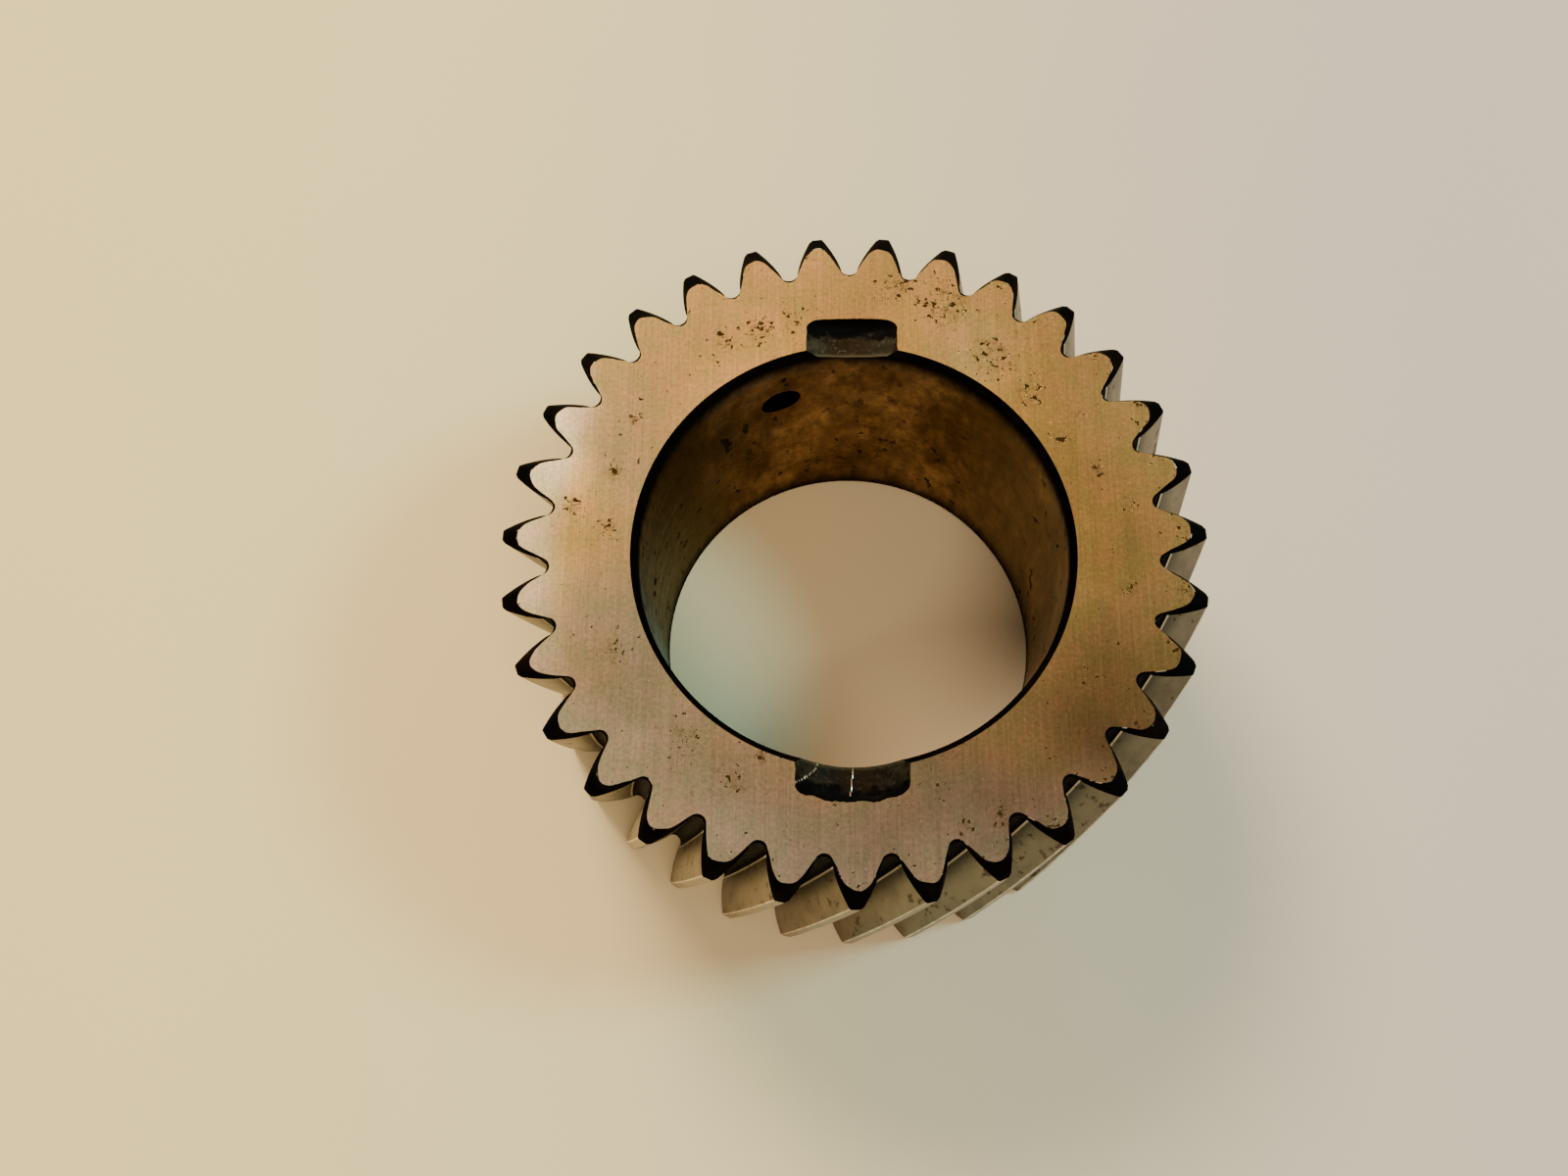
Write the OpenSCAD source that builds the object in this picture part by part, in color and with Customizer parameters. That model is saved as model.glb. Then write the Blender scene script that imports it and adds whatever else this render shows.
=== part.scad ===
// One-piece steel helical gear: a plain ring with involute teeth, a ground bore, two shallow
// slots sunk across the bore's edge in the upper end face, and one oil hole that runs from the
// bore to a tooth space. The axis is +Z, the lower end face lies on z = 0 and the slots lie
// on the +Y and -Y sides.

/* [Teeth] */
// Number of teeth
teeth = 31; // [29:1:36]
// Normal module
normal_module = 3.5; // [3.25:0.25:4.5]
// Helix angle at the pitch circle, right-hand
helix_angle = 11; // [0:1:25]
// Normal pressure angle
pressure_angle = 25; // [22:0.5:26]
// Radius of the fillet in the tooth roots
root_fillet = 1.4; // [1:0.05:1.5]
// Turn of the first tooth past the -Y side, at the upper face
tooth_phase = 0.5; // [-5:0.1:5]

/* [Tooth ends] */
// How far the upper edge break lowers the tip, along the radius
tip_break = 2.6; // [1.5:0.1:3]
// How far the upper edge break lowers the root, along the radius
root_break = 0.2; // [0.1:0.05:0.5]
// Depth of the upper edge break below the face, at the tip
tip_break_depth = 1.5; // [0.8:0.1:2.5]
// Depth of the upper edge break below the face, at the root
root_break_depth = 0.5; // [0.2:0.1:1]
// Radius of the rounded tooth tip on the upper face
face_tip_round = 2.5; // [2:0.1:2.8]
// Slope of the tooth sides on the upper face, from the tooth's centreline
face_side_slope = 28; // [24:1:32]
// Size of the lower edge break, as a share of the upper one
lower_break_share = 0.7; // [0.3:0.05:1]

/* [Ring] */
// Width across the two end faces
face_width = 62; // [40:1:80]
// Bore diameter
bore_d = 72; // [50:1:76]
// Chamfer at both ends of the bore
bore_chamfer = 1; // [0.5:0.1:2]

/* [Face slots] */
// Radius from the axis to the slots' outer ends
slot_reach = 42.2; // [40:0.1:43.5]
// Depth of the slot on the +Y side
back_slot_depth = 2.4; // [1.6:0.1:4]
// Depth of the slot on the -Y side
front_slot_depth = 3.4; // [1.6:0.1:4]
// Radius of the round cutter that sinks the slots
slot_cutter_r = 14; // [10:0.5:18]
// Corner radius of that cutter
slot_corner_r = 1.5; // [0.5:0.1:2]

/* [Oil hole] */
// Diameter of the oil hole where it meets the bore
oil_hole_d = 7.5; // [5:0.5:9]
// Radius from the axis to the step where the oil hole narrows
oil_step_r = 46; // [44:0.5:48]
// Diameter of the oil hole where it meets the tooth space
oil_outlet_d = 3.5; // [2.5:0.5:4.5]
// Depth of the oil hole below the upper face
oil_hole_depth = 15.8; // [10:0.1:25]

/* [Hidden] */
$fn = 120;

// Transverse gear geometry
transverse_module = normal_module / cos(helix_angle);
transverse_angle = atan(tan(pressure_angle) / cos(helix_angle));
pitch_r = teeth * transverse_module / 2;
base_r = pitch_r * cos(transverse_angle);
tip_r = pitch_r + normal_module;
root_r = pitch_r - 1.25 * normal_module;
tooth_pitch = 360 / teeth;
twist_per_mm = tan(helix_angle) / pitch_r * 180 / PI;

// The root fillet meets the flank where both lean from the radius by this angle
foot_slope = acos(base_r / (root_r + root_fillet));
foot_r = root_r + root_fillet * (1 - sin(foot_slope));

// Tooth outline on the upper face, inside the edge break
face_tip_r = tip_r - tip_break;
face_root_r = root_r - root_break;
face_arc_end = 90 - face_side_slope;
face_side_r = face_tip_r - face_tip_round * (1 - cos(face_arc_end));
face_foot_r = face_root_r + root_fillet * (1 - sin(face_side_slope));
face_foot_w = face_tip_round * sin(face_arc_end) + (face_side_r - face_foot_r) * tan(face_side_slope);

// Mesh density: steps down a tooth side, round a root fillet and along the helix
side_steps = 3;
fillet_steps = 3;
helix_steps = 6;

// The oil hole opens into the tooth space after this tooth
oil_tooth = 17;
oil_z = face_width - oil_hole_depth;
oil_angle = tooth_angle(oil_tooth + 0.5, oil_z);

// Length by which a cutter runs past the surface that it opens through
overcut = 5;

// Involute function, in degrees
function involute(a) = tan(a) * 180 / PI - a;

// Angle that a width takes up at a radius, in degrees
function width_angle(width, r) = width / r * 180 / PI;

// Half of a tooth's angle at a radius on the involute flank
function flank_angle(r) = 90 / teeth + involute(transverse_angle) - involute(acos(base_r / r));

// Centre of tooth k at a height
function tooth_angle(k, z) = -90 + tooth_phase + k * tooth_pitch - (face_width - z) * twist_per_mm;

// Points [radius, angle] round a root fillet, below a tooth side with the given foot and slope
function fillet_points(base, foot_angle, slope) = [
    for (step = [1 : fillet_steps - 1])
        let (a = slope + (90 - slope) * step / fillet_steps,
             r = base + root_fillet * (1 - sin(a)))
            [r, foot_angle + width_angle(root_fillet * (cos(slope) - cos(a)), r)]
];

// Half of the full tooth, from the middle of its tip down to the fillet
full_half = concat(
    [[tip_r, 0]],
    [for (step = [0 : side_steps])
        let (r = tip_r + (foot_r - tip_r) * step / side_steps)
            [r, flank_angle(r)]],
    fillet_points(root_r, flank_angle(foot_r), foot_slope)
);

// Half of the tooth on the upper face, point for point with the full one
face_half = concat(
    [for (step = [0 : side_steps])
        let (a = face_arc_end * step / side_steps,
             r = face_tip_r - face_tip_round * (1 - cos(a)))
            [r, width_angle(face_tip_round * sin(a), r)]],
    [[face_foot_r, width_angle(face_foot_w, face_foot_r)]],
    fillet_points(face_root_r, width_angle(face_foot_w, face_foot_r), face_side_slope)
);

// A whole tooth, from the middle of one root to the last point before the next root
function whole_tooth(half, bottom_r) = concat(
    [[bottom_r, -tooth_pitch / 2]],
    [for (i = [len(half) - 1 : -1 : 1]) [half[i][0], -half[i][1]]],
    half
);

full_tooth = whole_tooth(full_half, root_r);
upper_tooth = whole_tooth(face_half, face_root_r);
lower_tooth = full_tooth + lower_break_share * (upper_tooth - full_tooth);
tooth_points = len(full_tooth);
ring_points = teeth * tooth_points;

// Depth of the upper edge break at a radius of the full tooth
function break_depth(r) =
    root_break_depth + (tip_break_depth - root_break_depth) * (r - root_r) / (tip_r - root_r);

// Cartesian point of tooth k from its [radius, angle] at a height
function tooth_point(k, p, z) =
    let (a = tooth_angle(k, z) + p[1]) [p[0] * cos(a), p[0] * sin(a), z];

// Outline of all the teeth on an end face
function face_ring(outline, z) = [for (k = [0 : teeth - 1], p = outline) tooth_point(k, p, z)];

// Full outline, a share of the way up from the lower edge break to the upper one
function full_ring(share) = [
    for (k = [0 : teeth - 1], p = full_tooth)
        let (low = lower_break_share * break_depth(p[0]),
             high = face_width - break_depth(p[0]))
            tooth_point(k, p, low + share * (high - low))
];

// A polygon's points in the opposite order
function flipped(face) = [for (i = [len(face) - 1 : -1 : 0]) face[i]];

// End cap seen from above: one hub polygon through the roots and a fan over each tooth
function cap_faces(start) = concat(
    [[for (k = [0 : teeth - 1]) start + k * tooth_points]],
    [for (k = [0 : teeth - 1], i = [1 : tooth_points - 1])
        [start + k * tooth_points,
         start + k * tooth_points + i,
         start + (k * tooth_points + i + 1) % ring_points]]
);

// Two triangles for every outline edge between one ring and the next
function band_faces(ring) = [
    for (i = [0 : ring_points - 1], upper = [0, 1])
        let (low = ring * ring_points + i,
             low_next = ring * ring_points + (i + 1) % ring_points)
            upper == 0
                ? [low, low + ring_points, low_next]
                : [low_next, low + ring_points, low_next + ring_points]
];

// Solid disc with helical teeth and broken tooth ends
module toothed_disc() {
    rings = concat(
        [face_ring(lower_tooth, 0)],
        [for (step = [0 : helix_steps]) full_ring(step / helix_steps)],
        [face_ring(upper_tooth, face_width)]
    );
    last = len(rings) - 1;
    polyhedron(
        points = [for (ring = rings, p = ring) p],
        faces = concat(
            cap_faces(0),
            [for (ring = [0 : last - 1], f = band_faces(ring)) f],
            [for (f = cap_faces(last * ring_points)) flipped(f)]
        ),
        convexity = 12
    );
}

// Through bore with a chamfer at each end
module bore_cut() {
    chamfer_h = bore_chamfer + overcut;
    translate([0, 0, -overcut])
        cylinder(d = bore_d, h = face_width + 2 * overcut);
    translate([0, 0, -overcut])
        cylinder(r1 = bore_d / 2 + chamfer_h, r2 = bore_d / 2, h = chamfer_h);
    translate([0, 0, face_width - bore_chamfer])
        cylinder(r1 = bore_d / 2, r2 = bore_d / 2 + chamfer_h, h = chamfer_h);
}

// Cutter for the face slot on the +Y side: a disc with a rounded outer corner
module slot_cut(depth) {
    translate([0, 0, face_width + slot_cutter_r - depth])
        rotate([-90, 0, 0])
            rotate_extrude()
                union() {
                    square([slot_cutter_r, slot_reach - slot_corner_r]);
                    square([slot_cutter_r - slot_corner_r, slot_reach]);
                    translate([slot_cutter_r - slot_corner_r, slot_reach - slot_corner_r])
                        circle(r = slot_corner_r);
                }
}

// Radial oil hole, wide at the bore and narrow at the tooth space
module oil_hole_cut() {
    translate([0, 0, oil_z])
        rotate([0, 90, oil_angle]) {
            cylinder(d = oil_hole_d, h = oil_step_r);
            cylinder(d = oil_outlet_d, h = tip_r + overcut);
        }
}

module helical_gear() {
    color("LightSteelBlue")
        difference() {
            toothed_disc();
            bore_cut();
            slot_cut(back_slot_depth);
            rotate([0, 0, 180])
                slot_cut(front_slot_depth);
            oil_hole_cut();
        }
}

helical_gear();
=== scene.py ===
"""Looks for the helical gear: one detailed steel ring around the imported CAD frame.

The shape functions work in millimetres about the bore's axis, with z = 0 on the lower face.
The materials work in metres, in the same axes.
"""

import math

import bmesh
import bpy
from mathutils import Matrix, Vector, noise


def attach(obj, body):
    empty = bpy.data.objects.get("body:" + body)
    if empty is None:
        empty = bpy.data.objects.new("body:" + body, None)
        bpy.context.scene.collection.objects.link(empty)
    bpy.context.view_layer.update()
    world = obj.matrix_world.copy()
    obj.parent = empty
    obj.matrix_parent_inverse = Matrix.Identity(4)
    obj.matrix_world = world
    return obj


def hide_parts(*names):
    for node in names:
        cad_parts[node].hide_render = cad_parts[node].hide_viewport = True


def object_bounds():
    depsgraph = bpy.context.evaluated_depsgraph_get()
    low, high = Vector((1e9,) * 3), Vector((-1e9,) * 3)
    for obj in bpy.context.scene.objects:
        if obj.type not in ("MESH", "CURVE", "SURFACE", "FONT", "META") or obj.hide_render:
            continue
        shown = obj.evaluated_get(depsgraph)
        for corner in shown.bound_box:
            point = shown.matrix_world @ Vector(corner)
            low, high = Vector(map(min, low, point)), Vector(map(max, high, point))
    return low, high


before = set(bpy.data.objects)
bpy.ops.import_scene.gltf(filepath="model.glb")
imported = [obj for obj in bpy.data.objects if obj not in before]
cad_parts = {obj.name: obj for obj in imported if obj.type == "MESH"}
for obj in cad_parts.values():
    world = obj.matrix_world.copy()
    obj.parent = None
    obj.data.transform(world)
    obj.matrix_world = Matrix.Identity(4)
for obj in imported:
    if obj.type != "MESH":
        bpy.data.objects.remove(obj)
cad_low, cad_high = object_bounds()

# One millimetre in metres
MM = 0.001

# The parts of the surface that each have a finish of their own
ZONES = [
    "face", "break", "chamfer", "bore", "flank", "land", "corner", "dark_corner",
    "root", "slot_floor", "slot_wall", "oil_hole",
]

# ---------------------------------------------------------------- gear dimensions, in millimetres
TEETH = 31
MODULE = 3.5
HELIX = math.radians(11)
PRESSURE = math.radians(25)
# Depth of the teeth below the pitch circle, in modules
DEDENDUM = 1.25
# How far tooth 0 is turned from -Y on the upper face
PHASE = math.radians(0.5)
# The gear stands on its lower face, so the frame's height is its width
WIDTH = round((cad_high[2] - cad_low[2]) / MM, 3)
BORE_R = 36.0
BORE_CHAMFER = 1.0

PITCH_R = TEETH * MODULE / math.cos(HELIX) / 2
TRANSVERSE = math.atan(math.tan(PRESSURE) / math.cos(HELIX))
BASE_R = PITCH_R * math.cos(TRANSVERSE)
TIP_R = PITCH_R + MODULE
ROOT_R = PITCH_R - DEDENDUM * MODULE
PITCH_ANGLE = 2 * math.pi / TEETH
TWIST = math.tan(HELIX) / PITCH_R

# The ground flank ends at this radius, where a small step leads in to the unground root
GROUND_R = 52.3
STEP_HEIGHT = 0.12
UNDERCUT = 0.1
ROOT_FILLET = 1.35

# Tooth outline on the upper face, inside the black edge break, and how deep the break reaches down
# the tooth. On the lower face the break has only a share of that width and depth.
FACE_TIP_R = TIP_R - 2.8
FACE_ROOT_R = ROOT_R - 0.5
FACE_TIP_ROUND = 2.5
FACE_SIDE_SLOPE = math.radians(26)
FACE_FILLET = 1.3
TIP_BREAK_DEPTH = 1.5
ROOT_BREAK_DEPTH = 0.35
LOWER_BREAK_SHARE = 0.7

# Width of the small break along each of the two edges of a tooth's land, and its depth for that width
CLOCKWISE_CORNER = 0.12
COUNTER_CORNER = 0.3
CORNER_DEPTH_RATIO = 1.6

# Unevenness of the hand-broken tooth ends at a root, how much more of it there is at a tip, and how
# many times it changes in a millimetre
BREAK_WAVER = 0.12
TIP_WAVER = 0.34
WAVER_RATE = 0.45

# Radial oil hole from the bore to the space after a tooth: wide at first, then narrow
OIL_TOOTH = 17
OIL_Z = WIDTH - 15.8
OIL_HOLE_R = 3.75
OIL_START = 30.0
OIL_STEP_R = 46.0
OIL_OUTLET_R = 1.75

# How far the cutters reach past the surfaces that they open
CUTTER_OVERRUN = 3.0

# Both face slots: the round corner between the floor and the outer end, where the cutter starts
# inside the bore, and how far it reaches past the slot's sides above the face
SLOT_CORNER = 1.5
SLOT_START = 30.0
SLOT_MARGIN = 0.6

# Unevenness of the slots: height of the floor's lumps, how often the lumps and the ragged outer end
# change in a millimetre, and the place in the noise that each of them is taken from
SLOT_LUMPS = 0.12
LUMP_RATE = 0.8
LUMP_PLACE = 4.0
BROAD_RATE = 0.4
BROAD_PLACE = (7.0, 0.0)
FINE_RATE = 1.7
FINE_PLACE = (3.0, 5.0)
FINE_SHARE = 0.3

# Bright ridges that the cutter left
CREST_HEIGHT = 0.3
CREST_WIDTH = 0.25

# Each face slot: side is +1 at +Y and -1 at -Y, reach is the radius of the outer end, bow is how far
# that end curves back at its sides, roughness is how ragged it is, shift moves the slot along X, and
# crests are the ridges, each as a place across the slot for a radius
SLOTS = {
    "back_slot": {
        "side": 1, "depth": 2.4, "cutter_r": 14.0, "reach": 42.2, "bow": 0.3,
        "roughness": 0.12, "shift": 0.0, "crests": [],
    },
    "front_slot": {
        "side": -1, "depth": 3.4, "cutter_r": 14.0, "reach": 42.2, "bow": 1.8,
        "roughness": 0.45, "shift": -0.3,
        "crests": [
            lambda v: 0.1 * (v - 38),
            lambda v: 5.6 + 0.5 * (v - 36) + 0.2 * (v - 36) ** 2,
        ],
    },
}

# Places on the end faces where rust pits crowd: x, y, reach, and how densely
PIT_BEDS = [
    (16, 45, 9, 0.13), (8, 48, 6, 0.12), (24, 35, 7, 0.13), (30, 28, 6, 0.12),
    (35, 20, 4, 0.12), (-10, 42, 5, 0.11), (-16, 40, 5, 0.13), (-22, 38, 4, 0.12),
    (-37, 23, 3, 0.14), (-40, 14, 3, 0.16), (-47, 8, 3, 0.16), (-41, 4, 3, 0.13),
    (-39, -18, 4, 0.12), (-27, -32, 6, 0.11), (-19, -39, 4, 0.13), (-15, -35, 2, 0.2),
    (23, -44, 4, 0.15), (17, -46, 3, 0.12), (38, -22, 4, 0.11), (45, -7, 3, 0.15),
    (46, 8, 3, 0.13), (41, 14, 3, 0.12),
]

# Broad patches of another tone on the upper face, partly painted light and shade (the dark grey patch
# at the front left is painted shade): x, y, reach, share in the middle, and colour
TONE_PATCHES = [
    (-42, -18, 18, 0.65, (0.11, 0.10, 0.072)),
    (-45, 3, 16, 0.6, (0.24, 0.135, 0.03)),
    (44, 5, 22, 0.5, (0.31, 0.138, 0.037)),
    (20, 36, 14, 0.5, (0.52, 0.37, 0.17)),
]

# ---------------------------------------------------------------- mesh density
SHARP_ANGLE = math.radians(34)
SLOT_COLUMNS = 96
SLOT_ROWS = 30
SLOT_CORNER_STEPS = 6
OIL_SIDES = 40
FLANK_STEPS = 9
FILLET_STEPS = 7
BREAK_LOOPS = 4
HELIX_LOOPS = 30
BORE_STEPS = 12
BORE_LOOPS = 10


def involute(angle):
    """The involute function of a pressure angle."""
    return math.tan(angle) - angle


def flank_width(r):
    """Half of the tooth's width along the arc at a radius on the ground flank."""
    half = math.pi / (2 * TEETH) + involute(TRANSVERSE) - involute(math.acos(BASE_R / r))
    return half * r


def tooth_angle(k, z):
    """Centre of tooth k at a height."""
    return -math.pi / 2 + PHASE + k * PITCH_ANGLE - (WIDTH - z) * TWIST


def fillet(base_r, radius, foot_width, slope):
    """Points (radius, width) from the foot of a tooth's side down to the root circle."""
    points = []
    for step in range(1, FILLET_STEPS + 1):
        a = slope + (math.pi / 2 - slope) * step / FILLET_STEPS
        points.append((
            base_r + radius * (1 - math.sin(a)),
            foot_width + radius * (math.cos(slope) - math.cos(a)),
        ))
    return points


def full_side(corner_cut):
    """One side of the full tooth above its fillet, from the middle of the tip down."""
    tip_width = flank_width(TIP_R)
    corner_r = TIP_R - CORNER_DEPTH_RATIO * corner_cut
    points = [
        (TIP_R, 0.0),
        (TIP_R, 0.5 * (tip_width - corner_cut)),
        (TIP_R, tip_width - corner_cut),
        (corner_r, flank_width(corner_r)),
    ]
    for step in range(1, FLANK_STEPS + 1):
        r = corner_r + (GROUND_R - corner_r) * step / FLANK_STEPS
        points.append((r, flank_width(r)))
    step_r = GROUND_R - STEP_HEIGHT
    points.append((step_r, flank_width(step_r) - UNDERCUT))
    return points


def root_foot():
    """Radius, width and slope where the undercut side meets the root fillet."""
    slope = math.acos(BASE_R / (ROOT_R + ROOT_FILLET))
    r = ROOT_R + ROOT_FILLET * (1 - math.sin(slope))
    return r, flank_width(r) - UNDERCUT, slope


def tip_round(a):
    """Radius and width on the round tip of the face outline, at an angle from its middle."""
    return FACE_TIP_R - FACE_TIP_ROUND * (1 - math.cos(a)), FACE_TIP_ROUND * math.sin(a)


def face_side(shares):
    """The face outline above its fillet, at the given shares of its length from the tip down."""
    arc_end = math.pi / 2 - FACE_SIDE_SLOPE
    arc_length = FACE_TIP_ROUND * arc_end
    side_r, side_w = tip_round(arc_end)
    foot_r = FACE_ROOT_R + FACE_FILLET * (1 - math.sin(FACE_SIDE_SLOPE))
    side_length = (side_r - foot_r) / math.cos(FACE_SIDE_SLOPE)
    points = []
    for share in shares:
        s = share * (arc_length + side_length)
        if s <= arc_length:
            points.append(tip_round(s / FACE_TIP_ROUND))
        else:
            along = s - arc_length
            points.append((
                side_r - along * math.cos(FACE_SIDE_SLOPE),
                side_w + along * math.sin(FACE_SIDE_SLOPE),
            ))
    return points


def length_shares(points):
    """How far along the line each point lies, from 0 to 1."""
    total = [0.0]
    for (r0, w0), (r1, w1) in zip(points, points[1:]):
        total.append(total[-1] + math.hypot(r1 - r0, w1 - w0))
    return [t / total[-1] for t in total]


def to_angles(points, side):
    """Points (radius, width) turned into (radius, angle) on one side of the tooth."""
    return [(r, side * w / r) for r, w in points]


def tooth_outline(minus, plus, root_r):
    """One tooth as (radius, angle), from the middle of one root to just before the next."""
    return ([(root_r, -PITCH_ANGLE / 2)]
            + to_angles(minus[:0:-1], -1)
            + to_angles(plus, 1))


def build_outlines():
    """The full tooth and its outline on the upper face, point for point."""
    foot_r, foot_width, foot_slope = root_foot()
    full_sides = []
    face_sides = []
    for corner_cut in (CLOCKWISE_CORNER, COUNTER_CORNER):
        full_part = full_side(corner_cut) + [(foot_r, foot_width)]
        full_sides.append(full_part + fillet(ROOT_R, ROOT_FILLET, foot_width, foot_slope))
        face_part = face_side(length_shares(full_part))
        face_width = face_part[-1][1]
        face_sides.append(face_part + fillet(FACE_ROOT_R, FACE_FILLET, face_width, FACE_SIDE_SLOPE))
    full = tooth_outline(*full_sides, ROOT_R)
    face = tooth_outline(*face_sides, FACE_ROOT_R)
    return full, face


def outline_zones():
    """The material zone of each outline edge of one tooth, in the outline's own order."""
    side = (["land"] * 2 + ["corner"] + ["flank"] * FLANK_STEPS
            + ["root"] * (2 + FILLET_STEPS))
    corner_dark = ["dark_corner" if zone == "corner" else zone for zone in side]
    return ["root"] + side[::-1] + corner_dark + ["root"]


def tooth_share(r):
    """How far up the tooth a radius lies, from 0 at the root to 1 at the tip."""
    return (r - ROOT_R) / (TIP_R - ROOT_R)


def break_depth(r):
    """How deep the edge break reaches down the full tooth at a radius."""
    return ROOT_BREAK_DEPTH + (TIP_BREAK_DEPTH - ROOT_BREAK_DEPTH) * tooth_share(r)


def place(k, r, angle, z):
    """Coordinates of a point of tooth k, at an angle from its centre."""
    a = tooth_angle(k, z) + angle
    return (r * math.cos(a), r * math.sin(a), z)


class Skin:
    """Vertices and faces of the gear's mesh, with a material zone for every face."""

    def __init__(self):
        self.points = []
        self.faces = []
        self.zones = []

    def ring(self, points):
        """Adds a closed ring of points and returns their numbers."""
        start = len(self.points)
        self.points.extend(points)
        return list(range(start, len(self.points)))

    def face(self, corners, zone):
        """Adds a face between numbered points."""
        self.faces.append(corners)
        self.zones.append(zone)

    def band(self, upper, lower, zones):
        """Quads between two rings of the same length, facing away from the axis."""
        count = len(upper)
        for i in range(count):
            j = (i + 1) % count
            self.face((upper[i], lower[i], lower[j], upper[j]), zones[i % len(zones)])

    def mesh(self, name, slots):
        """The Blender mesh in metres, with its material slots in the order of ZONES."""
        mesh = bpy.data.meshes.new(name)
        mesh.from_pydata([[c * MM for c in p] for p in self.points], [], self.faces)
        for zone in ZONES:
            mesh.materials.append(slots[zone])
        mesh.polygons.foreach_set("material_index", [ZONES.index(z) for z in self.zones])
        work = bmesh.new()
        work.from_mesh(mesh)
        bmesh.ops.recalc_face_normals(work, faces=work.faces)
        work.to_mesh(mesh)
        work.free()
        return mesh


def between(a, b, share):
    """The value or point that lies a share of the way from a to b."""
    return tuple(p + (q - p) * share for p, q in zip(a, b))


def break_points(outline, full, share, side):
    """A ring of an edge break, where share runs from the face (0) to the full tooth (1)."""
    points = []
    for k in range(TEETH):
        for on_face, on_tooth in zip(outline, full):
            tooth_r = on_tooth[0]
            depth = break_depth(tooth_r) * share
            height = WIDTH - depth if side > 0 else LOWER_BREAK_SHARE * depth
            r, angle = between(on_face, on_tooth, share)
            x, y, z = place(k, r, angle, height)
            waver = BREAK_WAVER + TIP_WAVER * tooth_share(tooth_r)
            shift = waver * noise.noise(Vector((x, y, z)) * WAVER_RATE)
            scale = 1 + shift * (1 - share) / r
            points.append((x * scale, y * scale, z))
    return points


def helix_points(full, share):
    """A ring of the full teeth, where share runs from the lower edge break (0) to the upper (1)."""
    points = []
    for k in range(TEETH):
        for r, angle in full:
            low = LOWER_BREAK_SHARE * break_depth(r)
            high = WIDTH - break_depth(r)
            points.append(place(k, r, angle, low + (high - low) * share))
    return points


def toothed_rings(skin):
    """Adds the toothed outside, and returns its uppermost and lowest rings."""
    full, face = build_outlines()
    zones = outline_zones()
    lower_face = [between(p, q, LOWER_BREAK_SHARE) for p, q in zip(full, face)]
    rings = []
    for j in range(BREAK_LOOPS):
        rings.append(skin.ring(break_points(face, full, j / BREAK_LOOPS, 1)))
    for j in range(HELIX_LOOPS + 1):
        rings.append(skin.ring(helix_points(full, 1 - j / HELIX_LOOPS)))
    for j in range(1, BREAK_LOOPS + 1):
        rings.append(skin.ring(break_points(lower_face, full, 1 - j / BREAK_LOOPS, -1)))
    for number, (upper, lower) in enumerate(zip(rings, rings[1:])):
        on_break = number < BREAK_LOOPS or number >= BREAK_LOOPS + HELIX_LOOPS
        skin.band(upper, lower, ["break"] if on_break else zones)
    return rings[0], rings[-1]


def bore_ring(skin, r, z):
    """A ring inside the bore, in step with the teeth at its height."""
    count = TEETH * BORE_STEPS
    start = tooth_angle(0, z) - PITCH_ANGLE / 2
    angles = [start + 2 * math.pi * i / count for i in range(count)]
    return skin.ring([(r * math.cos(a), r * math.sin(a), z) for a in angles])


def bore_rings(skin):
    """Adds the bore and its chamfers, and returns its uppermost and lowest rings."""
    chamfer = [
        (BORE_R + BORE_CHAMFER, 0.0),
        (BORE_R + 0.5 * BORE_CHAMFER, 0.5 * BORE_CHAMFER),
        (BORE_R, BORE_CHAMFER),
    ]
    wall_height = WIDTH - 2 * BORE_CHAMFER
    wall = [(BORE_R, BORE_CHAMFER + wall_height * i / BORE_LOOPS) for i in range(1, BORE_LOOPS)]
    profile = chamfer + wall + [(r, WIDTH - z) for r, z in chamfer[::-1]]
    rings = [bore_ring(skin, r, z) for r, z in profile]
    bands = len(rings) - 1
    chamfer_bands = len(chamfer) - 1
    for number, (lower, upper) in enumerate(zip(rings, rings[1:])):
        on_chamfer = number < chamfer_bands or number >= bands - chamfer_bands
        skin.band(lower, upper, ["chamfer" if on_chamfer else "bore"])
    return rings[-1], rings[0]


def end_face(skin, outer, inner, upward):
    """One flat face of the gear, as a sector for each tooth between the outline and the bore."""
    tooth_points = len(outer) // TEETH
    for k in range(TEETH):
        outside = [outer[(k * tooth_points + i) % len(outer)] for i in range(tooth_points + 1)]
        inside = [inner[(k * BORE_STEPS + i) % len(inner)] for i in range(BORE_STEPS + 1)]
        corners = outside + inside[::-1]
        skin.face(corners if upward else corners[::-1], "face")


def cutter_object(name, points, faces, zones, slots):
    """A closed mesh that is only used to cut the gear."""
    skin = Skin()
    skin.points = points
    skin.faces = faces
    skin.zones = zones
    cutter = bpy.data.objects.new(name, skin.mesh(name, slots))
    bpy.context.scene.collection.objects.link(cutter)
    return cutter


def slot_reach(spec, u, half):
    """Radius of the slot's ragged outer end, at a place across the slot."""
    side = spec["side"]
    broad_y, broad_z = BROAD_PLACE
    fine_y, fine_z = FINE_PLACE
    broad = noise.noise(Vector((u * BROAD_RATE, side * broad_y, broad_z)))
    fine = noise.noise(Vector((u * FINE_RATE, side * fine_y, fine_z)))
    reach = spec["reach"] - spec["bow"] * (u / half) ** 2
    reach += spec["roughness"] * broad
    reach += FINE_SHARE * spec["roughness"] * fine
    return reach


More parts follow.
